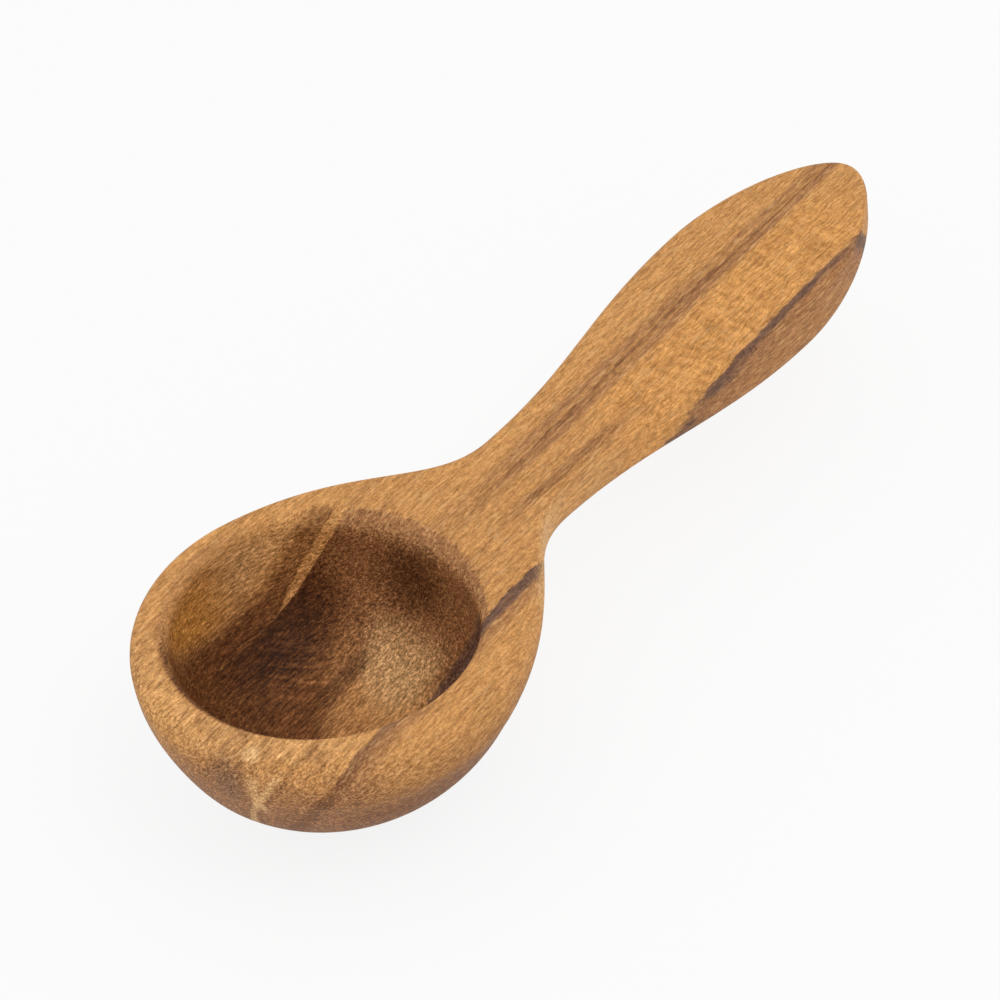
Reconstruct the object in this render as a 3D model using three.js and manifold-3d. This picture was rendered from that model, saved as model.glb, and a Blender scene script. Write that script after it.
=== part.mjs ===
// A small wooden scoop: a round bowl and a waisted, paddle-shaped handle, carved along the grain.
// Millimetres, +Z up. The origin is the middle of the flat under the bowl, the handle runs along +X,
// and the rim lies level at the bowl's height.

import * as THREE from 'three';
import { mergeVertices } from 'three/addons/utils/BufferGeometryUtils.js';
import Module from 'manifold-3d';

// Bowl
const bowlRadius = 22.9; // outside, at the rim
const bowlDepth = 23.4; // of the rounded outside below the rim, before the flat is cut
const bowlHeight = 21.6; // from the flat underneath up to the rim
const rimWidth = 3.3; // wall at the rim, taken as if the hollow were centred
const floorThickness = 3.2; // wood under the deepest point of the hollow
const hollowShiftX = 1.05; // the hollow is cut a little off the bowl's middle,
const hollowShiftY = 1.95; // so the rim is thin on one side and broad on the other
const rimRounding = 0.8; // outer top edge
const lipRounding = 0.5; // edge of the mouth

// Shoulders, seen from above, and the fillet under them: how the bowl runs out into the neck
const shoulderAngle = THREE.MathUtils.degToRad(73); // from the handle's line, where they leave the bowl
const shoulderEase = 0.63; // share of their length that keeps to the bowl's round
const neckEase = 0.34; // share of their length that keeps to the neck's line
const filletAngle = THREE.MathUtils.degToRad(32); // below the rim, where the underside leaves the bowl
const filletStart = 0.22; // share of the fillet that keeps to the bowl's round
const filletEnd = 0.6; // share of the fillet that keeps to the neck's line

// Handle
const neckX = 34.9; // the narrowest place, and the face between bowl and handle
const neckWidth = 12.7;
const neckThickness = 7.0;
const paddleX = 74.9; // the broadest place
const paddleWidth = 21.2;
const paddleThickness = 8.6;
const waistEase = 0.41; // share of the way from neck to paddle that stays near each width
const tipX = 97.0;
const tipThickness = 5.2;
const tipRise = 2.3; // how far the handle's top climbs above the rim
const tipRounding = 3.0; // length over which top and underside round off at the end
const tipEase = 0.53; // share of the way to the tip that stays near the paddle's width
const tipFullness = 0.52; // how blunt the end is, as a share of the paddle's half width
const topRounding = 1.3; // upper edges of the handle
const bowlSquareness = 1.85; // exponent of the underside's curve: 2 is round, more is squarer
const handleSquareness = 5.5;

// Fineness of the curved faces
const mouthSegments = 64;
const profileSteps = 14;
const edgeSteps = 3;
const undersideSteps = 26;
const bowlSteps = 18;
const shoulderSteps = 14;
const handleSteps = 16;

const mouthRadius = bowlRadius - rimWidth;
const quarterTurn = Math.PI / 2;
const { smoothstep, lerp } = THREE.MathUtils;

const wasm = await Module();
wasm.setup();

// Points of an elliptical arc, both ends included
function arc(centreX, centreY, radiusX, radiusY, from, to, steps) {
  const points = [];
  for (let i = 0; i <= steps; i++) {
    const angle = lerp(from, to, i / steps);
    points.push(new THREE.Vector2(centreX + radiusX * Math.cos(angle), centreY + radiusY * Math.sin(angle)));
  }
  return points;
}

// A curve that leaves the bowl's round at an angle from the handle's line and ends level at a point.
// The round is an ellipse with the bowl's radius along the handle and the given height across it.
function runOut(angle, height, end, startEase, endEase) {
  const start = new THREE.Vector2(bowlRadius * Math.cos(angle), height * Math.sin(angle));
  const alongRound = new THREE.Vector2(bowlRadius * Math.sin(angle), -height * Math.cos(angle)).normalize();
  const length = end.x - start.x;
  return new THREE.CubicBezierCurve(
    start,
    start.clone().addScaledVector(alongRound, startEase * length),
    new THREE.Vector2(end.x - endEase * length, end.y),
    end,
  );
}

// Half of the plan outline, in three curves from the bowl's round to the tip
const neckPoint = new THREE.Vector2(neckX, neckWidth / 2);
const paddlePoint = new THREE.Vector2(paddleX, paddleWidth / 2);
const tipPoint = new THREE.Vector2(tipX, 0);
const shoulderOutline = runOut(shoulderAngle, bowlRadius, neckPoint, shoulderEase, neckEase);
const waistOutline = new THREE.CubicBezierCurve(
  neckPoint,
  new THREE.Vector2(lerp(neckX, paddleX, waistEase), neckPoint.y),
  new THREE.Vector2(lerp(paddleX, neckX, waistEase), paddlePoint.y),
  paddlePoint,
);
const endOutline = new THREE.CubicBezierCurve(
  paddlePoint,
  new THREE.Vector2(lerp(paddleX, tipX, tipEase), paddlePoint.y),
  new THREE.Vector2(tipX, tipFullness * paddlePoint.y),
  tipPoint,
);

// Fillet under the shoulders, as distance along the handle and depth below the rim
const neckUnderside = new THREE.Vector2(neckX, neckThickness);
const fillet = runOut(filletAngle, bowlDepth, neckUnderside, filletStart, filletEnd);

// The second coordinate of a curve where its first, which always grows, has a given value
function heightOn(curve, x) {
  const halvings = 40;
  let low = 0;
  let high = 1;
  for (let i = 0; i < halvings; i++) {
    const middle = (low + high) / 2;
    if (curve.getPoint(middle).x < x) {
      low = middle;
    } else {
      high = middle;
    }
  }
  return curve.getPoint(low).y;
}

// Thickness from top face to underside: the bowl's round, the fillet, then the handle
function thicknessAt(x) {
  if (x < fillet.v0.x) {
    return bowlDepth * Math.sqrt(Math.max(0, 1 - (x / bowlRadius) ** 2));
  }
  if (x < neckX) {
    return heightOn(fillet, x);
  }
  if (x < paddleX) {
    return lerp(neckThickness, paddleThickness, smoothstep(x, neckX, paddleX));
  }
  return lerp(paddleThickness, tipThickness, ((x - paddleX) / (tipX - paddleX)) ** 2);
}

// Height of the top face: level over bowl and neck, then climbing to the tip
function topAt(x) {
  const along = Math.max(0, (x - neckX) / (tipX - neckX));
  return bowlHeight + tipRise * along ** 2;
}

// How far the top edge is rounded down just behind the bowl's front, on a quarter circle
function frontDrop(x) {
  const before = Math.max(0, rimRounding - bowlRadius - x);
  return rimRounding - Math.sqrt(Math.max(0, rimRounding ** 2 - before ** 2));
}

// How much of the thickness is left where the handle's end rounds off, from 1 to 0 at the tip
function endShare(x) {
  const past = Math.max(0, (x - tipX + tipRounding) / tipRounding);
  return Math.sqrt(Math.max(0, 1 - past ** 2));
}

// One cross-section as a ring of points: flat top, rounded upper edges, curved underside
function section(x, halfWidth) {
  const full = thicknessAt(x);
  const share = endShare(x);
  const top = topAt(x) - frontDrop(x) - (full * (1 - share)) / 2;
  const thickness = full * share - frontDrop(x);
  const edgeWanted = lerp(rimRounding, topRounding, smoothstep(x, shoulderOutline.v0.x, neckX));
  const edge = Math.min(edgeWanted, thickness / 2, halfWidth / 2);
  const squareness = lerp(bowlSquareness, handleSquareness, smoothstep(x, fillet.v0.x, neckX));
  const ring = [
    ...arc(halfWidth - edge, top - edge, edge, edge, 0, quarterTurn, edgeSteps),
    ...arc(edge - halfWidth, top - edge, edge, edge, quarterTurn, Math.PI, edgeSteps),
  ];
  for (let i = 1; i < undersideSteps; i++) {
    const angle = (Math.PI * i) / undersideSteps;
    const side = -Math.cos(angle);
    const depth = (1 - Math.abs(side) ** squareness) ** (1 / squareness);
    ring.push(new THREE.Vector2(side * halfWidth, top - edge - depth * (thickness - edge)));
  }
  return ring.map((point) => new THREE.Vector3(x, point.x, point.y));
}

function sectionsAlong(points) {
  return points.map((point) => section(point.x, point.y));
}

// A closed skin through a row of sections, with a fan to one point at each end
function lofted(rings, startPoint, endPoint) {
  const count = rings[0].length;
  const points = [...rings.flat(), startPoint, endPoint];
  const startIndex = points.length - 2;
  const endIndex = points.length - 1;
  const lastRing = (rings.length - 1) * count;
  const index = [];
  for (let i = 0; i < count; i++) {
    const next = (i + 1) % count;
    for (let ring = 0; ring < lastRing; ring += count) {
      index.push(ring + i, ring + next, ring + count + i);
      index.push(ring + next, ring + count + next, ring + count + i);
    }
    index.push(startIndex, next, i);
    index.push(endIndex, lastRing + i, lastRing + next);
  }
  return new THREE.BufferGeometry().setFromPoints(points).setIndex(index);
}

// The point on the handle's line halfway between top face and underside
function middleAt(x) {
  return new THREE.Vector3(x, 0, topAt(x) - thicknessAt(x) / 2);
}

// Bowl and shoulders before the hollow and the flat are cut
function bowlBlank() {
  const round = arc(0, 0, bowlRadius, bowlRadius, Math.PI, shoulderAngle, bowlSteps);
  const shoulders = shoulderOutline.getPoints(shoulderSteps);
  const front = new THREE.Vector3(-bowlRadius, 0, bowlHeight - rimRounding);
  return lofted(sectionsAlong([...round.slice(1, -1), ...shoulders]), front, middleAt(neckX));
}

function handleBody() {
  const waist = waistOutline.getPoints(handleSteps);
  const end = endOutline.getPoints(handleSteps);
  return lofted(sectionsAlong([...waist, ...end.slice(1, -1)]), middleAt(neckX), middleAt(tipX));
}

// The wood taken out of the bowl: a half ellipsoid with a rounded lip, open at the top
function hollow() {
  const wallTop = bowlHeight - lipRounding;
  const lipRadius = mouthRadius + lipRounding;
  const above = bowlHeight + lipRounding;
  const wall = arc(0, wallTop, mouthRadius, wallTop - floorThickness, -quarterTurn, 0, profileSteps);
  const lip = arc(lipRadius, wallTop, lipRounding, lipRounding, Math.PI, quarterTurn, edgeSteps);
  wall[0].x = 0;
  const profile = [
    ...wall,
    ...lip.slice(1),
    new THREE.Vector2(lipRadius, above),
    new THREE.Vector2(0, above),
  ];
  const turned = new THREE.LatheGeometry(profile, mouthSegments).rotateX(quarterTurn);
  return turned.translate(hollowShiftX, hollowShiftY, 0);
}

// The wood cut away below the flat that the bowl stands on
function belowFlat() {
  const side = 2 * bowlRadius;
  return new THREE.BoxGeometry(side, side, bowlDepth).translate(0, 0, -bowlDepth / 2);
}

// A solid that can be cut, from a closed geometry
function solid(geometry) {
  geometry.deleteAttribute('normal');
  geometry.deleteAttribute('uv');
  const welded = mergeVertices(geometry);
  return new wasm.Manifold(new wasm.Mesh({
    numProp: 3,
    vertProperties: new Float32Array(welded.attributes.position.array),
    triVerts: new Uint32Array(welded.index.array),
  }));
}

function woodenPiece(name, body) {
  const { vertProperties, triVerts } = body.getMesh();
  const geometry = new THREE.BufferGeometry();
  geometry.setAttribute('position', new THREE.BufferAttribute(vertProperties, 3));
  geometry.setIndex(new THREE.BufferAttribute(triVerts, 1));
  geometry.computeVertexNormals();
  const oiledWood = new THREE.MeshStandardMaterial({ color: 0xb07a42, roughness: 0.6, metalness: 0 });
  const mesh = new THREE.Mesh(geometry, oiledWood);
  mesh.name = name;
  return mesh;
}

const scoop = new THREE.Group();
scoop.add(woodenPiece('bowl', solid(bowlBlank()).subtract(solid(hollow())).subtract(solid(belowFlat()))));
scoop.add(woodenPiece('handle', solid(handleBody())));

export default scoop;
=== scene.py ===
"""A small scoop carved from oiled wood: a round bowl with a waisted, paddle-shaped handle.

Metres, +Z up. The origin is the middle of the flat under the bowl, and the handle runs along +X.
"""

import math
from functools import lru_cache
from types import SimpleNamespace

import bmesh
import bpy
import numpy as np
from mathutils import Matrix, Vector


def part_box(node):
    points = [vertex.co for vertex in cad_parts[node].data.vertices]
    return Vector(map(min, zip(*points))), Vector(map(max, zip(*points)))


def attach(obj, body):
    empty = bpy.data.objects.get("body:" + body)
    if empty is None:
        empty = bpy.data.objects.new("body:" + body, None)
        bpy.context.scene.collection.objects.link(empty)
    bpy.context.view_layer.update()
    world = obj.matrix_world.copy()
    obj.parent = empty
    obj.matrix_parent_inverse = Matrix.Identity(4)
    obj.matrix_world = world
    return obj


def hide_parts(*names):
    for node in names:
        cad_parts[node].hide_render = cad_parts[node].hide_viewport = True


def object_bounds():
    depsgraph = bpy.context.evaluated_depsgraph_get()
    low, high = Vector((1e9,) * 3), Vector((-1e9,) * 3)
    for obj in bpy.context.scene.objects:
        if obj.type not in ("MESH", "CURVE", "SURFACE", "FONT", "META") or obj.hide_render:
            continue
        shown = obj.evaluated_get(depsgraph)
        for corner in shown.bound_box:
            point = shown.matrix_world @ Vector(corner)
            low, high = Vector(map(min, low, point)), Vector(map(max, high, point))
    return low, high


bl_info = {
    "name": "Wooden Scoop",
    "version": (1, 0, 0),
    "blender": (4, 5, 0),
    "location": "View3D > Sidebar > Scoop",
    "description": "Models a small carved wooden scoop and the stage it is shown on",
    "category": "Add Mesh",
}

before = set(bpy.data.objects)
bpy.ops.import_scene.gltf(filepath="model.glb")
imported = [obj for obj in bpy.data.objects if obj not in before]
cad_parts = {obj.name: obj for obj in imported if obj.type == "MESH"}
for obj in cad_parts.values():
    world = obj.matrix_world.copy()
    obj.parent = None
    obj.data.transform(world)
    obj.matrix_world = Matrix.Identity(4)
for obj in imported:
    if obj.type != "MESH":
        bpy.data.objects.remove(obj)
CAD_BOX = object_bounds()
BOWL_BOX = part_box("bowl")
HANDLE_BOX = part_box("handle")
TIP_RISE = HANDLE_BOX[1].z - BOWL_BOX[1].z
UP = Vector((0, 0, 1))

# Shoulders seen from above, and the fillet under them, as shares of the curves' lengths
SHOULDER_ANGLE = math.radians(73)
SHOULDER_EASE = 0.63
NECK_EASE = 0.34
FILLET_ANGLE = math.radians(32)
FILLET_START = 0.22
FILLET_END = 0.6

# Where round the bowl, from the handle's line, the worn edges are softest and crispest
SOFT_RIM_ANGLE = math.radians(-100)
BROAD_LIP_ANGLE = math.radians(5)
CRISP_LIP_ANGLE = math.radians(-110)
BROAD_LIP_REACH = math.radians(75)
CRISP_LIP_REACH = math.radians(110)

# Outline of the handle, as shares of its parts
WAIST_EASE = 0.41
TIP_EASE = 0.507
TIP_FULLNESS = 0.441
TIP_WALL = 0.68

# Exponents of the curves under the bowl, under the handle and in the hollow: 2 is round, more is squarer
BOWL_SQUARENESS = 1.85
HANDLE_SQUARENESS = 5.5
HOLLOW_SQUARENESS = 2.35

# Share of the depth over which a soft upper edge fades into the side below it
EDGE_FADE = 0.4

# Halvings when a place on a curve is searched for, and samples of the curves that are looked up
HALVINGS = 26
SECTION_SAMPLES = 240
FLAT_SAMPLES = 300

# Fineness of the meshes
SHOULDER_COLUMNS = 60
FRONT_COLUMNS = 88
FLAT_RINGS = 4
OUTSIDE_RINGS = 32
EDGE_RINGS = 7
RIM_RINGS = 4
LIP_RINGS = 8
WALL_RINGS = 34
SHOULDER_RINGS = 26
WAIST_RINGS = 40
END_RINGS = 40

# The lowest ring of the bowl's outside that the shoulders grow from
LOW_RING = 17

# How far an extra ring lies from the neck's plane, on either side, to keep the shading even across it
SEAM_STEP = 0.00002

# The shoulders' first ring: the shares of its columns between which its inset turns from one side's
# to the other's, and how much further in it lies at its middle
INSET_CHANGE = (0.08, 0.75)
INSET_SLACK = 0.0004

# Places that the wood's marks are measured from, in millimetres: the neck, the rim, and the hollow's
# middle, reach and depth
NECK_PLACE = 35.0
RIM_HEIGHT = 21.6
HOLLOW_MIDDLE = (1.05, 1.95)
HOLLOW_REACH = 18.0
HOLLOW_FALL = 18.4

# Width of the camera's sensor in millimetres, and the nearest and furthest that it sees
SENSOR_WIDTH = 36.0
NEAREST = 0.01
FURTHEST = 100.0


def share_between(low, high, share):
    """The number at a share of the way from low to high."""
    return low + (high - low) * share


def smooth_share(value, low, high):
    """How far a number is from low to high, from 0 to 1, with level ends."""
    share = min(1.0, max(0.0, (value - low) / (high - low)))
    return share * share * (3 - 2 * share)


def swell(turn, reach):
    """A smooth bump over the angles: 1 at no turn, and 0 from a turn of the reach to either side."""
    off = abs(math.remainder(turn, 2 * math.pi)) / reach
    return math.cos(math.pi / 2 * min(1.0, off)) ** 2


def steps(count, first=0):
    """Shares of the way from first / count to 1, in equal steps."""
    return [i / count for i in range(first, count + 1)]


def on_curve(points, share):
    """The point at a share of the way along a cubic curve with four control points."""
    rest = 1 - share
    a, b, c, d = points
    return a * rest**3 + b * (3 * share * rest**2) + c * (3 * share**2 * rest) + d * share**3


def along_curve(points, share):
    """The direction of a cubic curve at a share of the way along it."""
    rest = 1 - share
    a, b, c, d = points
    return ((b - a) * rest**2 + (c - b) * (2 * share * rest) + (d - c) * share**2).normalized()


def share_on(points, x):
    """How far along a curve its first coordinate, which always grows, has the value x."""
    low, high = 0.0, 1.0
    for _ in range(HALVINGS):
        middle = (low + high) / 2
        if on_curve(points, middle).x < x:
            low = middle
        else:
            high = middle
    return high


class ScoopForm:
    """The scoop's outer form: its outline from above, and its sections along the handle's line."""

    def __init__(self, sizes):
        self.sizes = sizes
        neck = Vector((sizes.neck_distance, sizes.neck_width / 2))
        paddle = Vector((sizes.paddle_distance, sizes.paddle_width / 2))
        tip = Vector((sizes.tip_distance, 0))
        underside = Vector((sizes.neck_distance, sizes.neck_thickness))
        waist = paddle.x - neck.x
        self.shoulder = self.run_out(SHOULDER_ANGLE, sizes.bowl_radius, neck, SHOULDER_EASE, NECK_EASE)
        self.fillet = self.run_out(FILLET_ANGLE, sizes.bowl_depth, underside, FILLET_START, FILLET_END)
        self.waist = (
            neck,
            Vector((neck.x + WAIST_EASE * waist, neck.y)),
            Vector((paddle.x - WAIST_EASE * waist, paddle.y)),
            paddle,
        )
        self.end = (
            paddle,
            Vector((share_between(paddle.x, tip.x, TIP_EASE), paddle.y)),
            Vector((tip.x, TIP_FULLNESS * paddle.y)),
            tip,
        )
        along = [share_between(self.shoulder[0].x, neck.x, share) for share in steps(FLAT_SAMPLES)]
        self.flat_edges = {
            side: np.array([self.on_edge(x, 0.0, side).xy for x in along]).T for side in (-1, 1)
        }

    def run_out(self, angle, height, end, start_ease, end_ease):
        """A curve that leaves the bowl's round at an angle and ends level at a point."""
        radius = self.sizes.bowl_radius
        start = Vector((radius * math.cos(angle), height * math.sin(angle)))
        along = Vector((radius * math.sin(angle), -height * math.cos(angle))).normalized()
        length = end.x - start.x
        return (
            start,
            start + along * (start_ease * length),
            Vector((end.x - end_ease * length, end.y)),
            end,
        )

    @lru_cache(maxsize=None)
    def outline(self, x):
        """Half the width at x from above, and the way outwards there on the +Y side."""
        radius = self.sizes.bowl_radius
        if x <= self.shoulder[0].x:
            width = math.sqrt(max(0.0, radius**2 - x**2))
            return width, Vector((x, width)) / radius
        curve = next((curve for curve in (self.shoulder, self.waist) if x < curve[3].x), self.end)
        share = share_on(curve, x)
        along = along_curve(curve, share)
        return on_curve(curve, share).y, Vector((-along.y, along.x))

    @lru_cache(maxsize=None)
    def thickness(self, x):
        """Thickness from the top face to the underside."""
        sizes = self.sizes
        if x < self.fillet[0].x:
            return sizes.bowl_depth * math.sqrt(max(0.0, 1 - (x / sizes.bowl_radius) ** 2))
        if x < sizes.neck_distance:
            return on_curve(self.fillet, share_on(self.fillet, x)).y
        if x < sizes.paddle_distance:
            along = smooth_share(x, sizes.neck_distance, sizes.paddle_distance)
            return share_between(sizes.neck_thickness, sizes.paddle_thickness, along)
        along = (x - sizes.paddle_distance) / (sizes.tip_distance - sizes.paddle_distance)
        full = share_between(sizes.paddle_thickness, sizes.tip_thickness, along**2)
        past = max(0.0, (x - sizes.tip_distance) / sizes.tip_sweep + 1)
        return full * share_between(TIP_WALL, 1.0, math.sqrt(max(0.0, 1 - past**2)))

    def top(self, x):
        """Height of the top face: level over bowl and neck, then climbing to the tip."""
        sizes = self.sizes
        along = max(0.0, (x - sizes.neck_distance) / (sizes.tip_distance - sizes.neck_distance))
        return sizes.bowl_height + sizes.tip_rise * along**2

    def squareness(self, x):
        """Exponent of the underside's curve."""
        along = smooth_share(x, self.fillet[0].x, self.sizes.neck_distance)
        return share_between(BOWL_SQUARENESS, HANDLE_SQUARENESS, along)

    def rim_edge(self, angle):
        """Radius of the rim's outer edge at an angle round the bowl."""
        softness = (1 + math.cos(angle - SOFT_RIM_ANGLE)) / 2
        return share_between(self.sizes.rim_rounding, self.sizes.soft_rim_rounding, softness)

    def lip_edge(self, angle):
        """Radius of the mouth's edge at an angle round the hollow."""
        usual = self.sizes.lip_rounding
        broad = swell(angle - BROAD_LIP_ANGLE, BROAD_LIP_REACH)
        broad *= self.sizes.broad_lip_rounding - usual
        crisp = swell(angle - CRISP_LIP_ANGLE, CRISP_LIP_REACH)
        crisp *= self.sizes.crisp_lip_rounding - usual
        return usual + broad + crisp

    def edge(self, x, side):
        """Radius of the upper edge on one side, from the bowl's shoulder to the tip."""
        along = smooth_share(x, self.shoulder[0].x, self.sizes.neck_distance)
        return share_between(self.rim_edge(side * SHOULDER_ANGLE), self.sizes.top_rounding, along)

    def edge_below(self, x, edge, depth):
        """What is left of the upper edge's radius at a share of the depth, where a soft edge fades out."""
        along = smooth_share(x, self.shoulder[0].x, self.sizes.neck_distance)
        firm = min(edge, share_between(self.sizes.rim_rounding, self.sizes.top_rounding, along))
        return edge + (firm - edge) * np.sin(math.pi / 2 * np.clip(depth / EDGE_FADE, 0, 1)) ** 2

    @lru_cache(maxsize=None)
    def underside(self, x):
        """The underside at x: places across, heights, and the share of its length run so far."""
        power = 2 / self.squareness(x)
        turn = np.linspace(0, math.pi, SECTION_SAMPLES)
        side = np.sign(np.cos(turn)) * np.abs(np.cos(turn)) ** power
        depth = np.abs(np.sin(turn)) ** power
        left, right = (self.edge_below(x, self.edge(x, way), depth) for way in (1, -1))
        edge = np.where(side > 0, left, right)
        across = side * self.outline(x)[0]
        height = self.top(x) - edge - depth * (self.thickness(x) - edge)
        run = np.concatenate([[0], np.cumsum(np.hypot(np.diff(across), np.diff(height)))])
        return across, height, run / run[-1]

    def on_underside(self, x, share):
        """The point of the underside at a share of the way from its +Y edge to its -Y edge."""
        across, height, run = self.underside(x)
        return Vector((x, np.interp(share, run, across), np.interp(share, run, height)))

    def underside_share(self, point):
        """Where a point of the underside lies between the +Y edge and the -Y edge."""
        across, _, run = self.underside(point.x)
        return float(np.interp(-point.y, -across, run))

    def on_edge(self, x, turn, side):
        """The point of a rounded upper edge at a turn from level with the top face, at 0, to upright."""
        width, out = self.outline(x)
        edge = self.edge(x, side)
        inset = edge * (1 - math.sin(turn))
        across = side * (width - out.y * inset)
        return Vector((x - out.x * inset, across, self.top(x) - edge + edge * math.cos(turn)))

    def on_top(self, x, share):
        """The point of the flat top between the edges where the outline is at x, from -1 to 1."""
        return self.on_edge(x, 0.0, -1).lerp(self.on_edge(x, 0.0, 1), (share + 1) / 2)

    def on_shoulder(self, x, share):
        """The point of the flat shoulders over x, from -1 at the -Y edge to 1 at the +Y edge."""
        right, left = (np.interp(x, *self.flat_edges[side]) for side in (-1, 1))
        return Vector((x, share_between(right, left, (share + 1) / 2), self.top(x)))

    def shoulder_share(self, point):
        """Where a point of the flat shoulders lies between the -Y edge, at -1, and the +Y edge."""
        right, left = (np.interp(point.x, *self.flat_edges[side]) for side in (-1, 1))
        return max(-1.0, min(1.0, 2 * (point.y - right) / (left - right) - 1))

    def outside_height(self, x, y, edge):
        """Height of the bowl's outside over a place in the plan, under an upper edge of a radius."""
        power = self.squareness(x)
        depth = max(0.0, 1 - (abs(y) / self.outline(x)[0]) ** power) ** (1 / power)
        front = math.sqrt(1 - (min(0.0, x) / self.sizes.bowl_radius) ** 2)
        edge = self.edge_below(x, edge, depth * front)
        return self.top(x) - edge * (1 - depth * front) - depth * self.thickness(x)

    def outside_edge(self, angle, x):
        """Radius of the upper edge over a place on the bowl's outside."""
        if abs(angle) < SHOULDER_ANGLE:
            return self.edge(x, math.copysign(1, angle))
        return self.rim_edge(angle)

    def on_outside(self, angle, radius):
        """The point of the bowl's outside at an angle and a distance from the bowl's axis."""
        x, y = radius * math.cos(angle), radius * math.sin(angle)
        return Vector((x, y, self.outside_height(x, y, self.outside_edge(angle, x))))

    def flat_radius(self, angle):
        """How far the flat underneath reaches from the bowl's axis, at an angle."""
        low, high = 0.0, self.sizes.bowl_radius
        for _ in range(HALVINGS):
            middle = (low + high) / 2
            if self.on_outside(angle, middle).z < 0:
                low = middle
            else:
                high = middle
        return low


def first_ring(mesh, places):
    """Starts a mesh with a closed ring of vertices at the given places."""
    made = bmesh.ops.create_circle(mesh, segments=len(places), radius=1)["verts"]
    ring = [made[0]]
    while len(ring) < len(made):
        nearby = [edge.other_vert(ring[-1]) for edge in ring[-1].link_edges]
        ring.append(next(vert for vert in nearby if vert not in ring))
    for vert, place in zip(ring, places):
        vert.co = place
    return ring


def next_ring(mesh, ring, places):
    """Extrudes a closed ring of vertices once, moves the new ones to their places and returns them."""
    edges = [mesh.edges.get(pair) for pair in zip(ring, ring[1:] + ring[:1])]
    made = bmesh.ops.extrude_edge_only(mesh, edges=edges)["geom"]
    fresh = {item for item in made if isinstance(item, bmesh.types.BMVert)}
    moved = []
    for vert, place in zip(ring, places):
        partner = next(e.other_vert(vert) for e in vert.link_edges if e.other_vert(vert) in fresh)
        partner.co = place
        moved.append(partner)
    return moved


def close_ring(mesh, ring, place):
    """Closes a ring with a fan of faces to one point."""
    tip = next_ring(mesh, ring, [place] * len(ring))
    bmesh.ops.pointmerge(mesh, verts=tip, merge_co=place)


def sharpen(mesh, ring):
    """Marks the edges of a ring as sharp, so that shading stops there."""
    for pair in zip(ring, ring[1:] + ring[:1]):
        mesh.edges.get(pair).smooth = False


def middle_of(ring):
    """The middle of a ring of vertices."""
    return sum((vert.co for vert in ring), Vector()) / len(ring)


def finished_piece(mesh, name, node, material):
    """Makes an object of a mesh, which rides on the frame and stands for a node."""
    bmesh.ops.remove_doubles(mesh, verts=mesh.verts, dist=1e-7)
    bmesh.ops.recalc_face_normals(mesh, faces=mesh.faces)
    for face in mesh.faces:
        face.smooth = True
    data = bpy.data.meshes.new(name)
    mesh.to_mesh(data)
    mesh.free()
    data.materials.append(material)
    piece = bpy.data.objects.new(name, data)
    bpy.context.scene.collection.objects.link(piece)
    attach(piece, "root")
    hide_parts(node)
    return piece


def column_angles():
    """Angles round the bowl, from the handle's line: first the shoulders, then round the front."""
    left = SHOULDER_ANGLE
    right = 2 * math.pi - SHOULDER_ANGLE
    shoulders = [share_between(-left, left, share) for share in steps(SHOULDER_COLUMNS)]
    front = [share_between(left, right, share) for share in steps(FRONT_COLUMNS)]
    return shoulders + front[1:-1]


def level_ways(angles):
    """Level directions at angles round the bowl."""
    return [Vector((math.cos(angle), math.sin(angle), 0)) for angle in angles]


def outside_rings(form, angles):
    """Places of the rings from the flat underneath up the bowl's outside to its upper edge."""
    circle = level_ways(angles)
    flat = [form.flat_radius(angle) for angle in angles]
    insets = rim_insets(form, angles)
    radius = form.sizes.bowl_radius
    top = form.sizes.bowl_height
    rings = []
    for share in steps(FLAT_RINGS, 1):
        rings.append([way * (reach * share) for way, reach in zip(circle, flat)])
    for share in steps(OUTSIDE_RINGS, 1)[:-1]:
        swept = math.sin(math.pi / 2 * share)
        rings.append([form.on_outside(a, share_between(f, radius, swept)) for a, f in zip(angles, flat)])
    rings.append([way * radius + UP * (top - edge) for way, edge in zip(circle, insets)])
    return rings


def rim_insets(form, angles):
    """Radius of the rim's outer edge in each column.

    Over the shoulders there is no edge. There it is how far their first ring lies inside the bowl's
    round, clear of the mouth and of the shoulders' own edges.
    """
    right, left = form.rim_edge(-SHOULDER_ANGLE), form.rim_edge(SHOULDER_ANGLE)
    over = []
    for share in steps(SHOULDER_COLUMNS):
        inset = share_between(right, left, smooth_share(share, *INSET_CHANGE))
        over.append(inset + 4 * share * (1 - share) * INSET_SLACK)
    return over + [form.rim_edge(angle) for angle in angles[len(over):]]


def rim_rings(form, angles):
    """Places of the rings over the rim's rounded outer edge and across its flat to the mouth."""
    sizes = form.sizes
    circle = level_ways(angles)
    insets = rim_insets(form, angles)
    rings = []
    for share in steps(EDGE_RINGS, 1):
        turn = math.pi / 2 * (1 - share)
        inwards = 1 - math.sin(turn)
        down = 1 - math.cos(turn)
        rings.append([
            way * (sizes.bowl_radius - edge * inwards) + UP * (sizes.bowl_height - edge * down)
            for way, edge in zip(circle, insets)
        ])
    outer = rings[-1]
    shift = Vector((*sizes.hollow_shift, sizes.bowl_height))
    mouth = [shift + way * (sizes.bowl_radius - sizes.rim_width) for way in circle]
    for share in steps(RIM_RINGS, 1):
        rings.append([a.lerp(b, share) for a, b in zip(outer, mouth)])
    return rings


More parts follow.
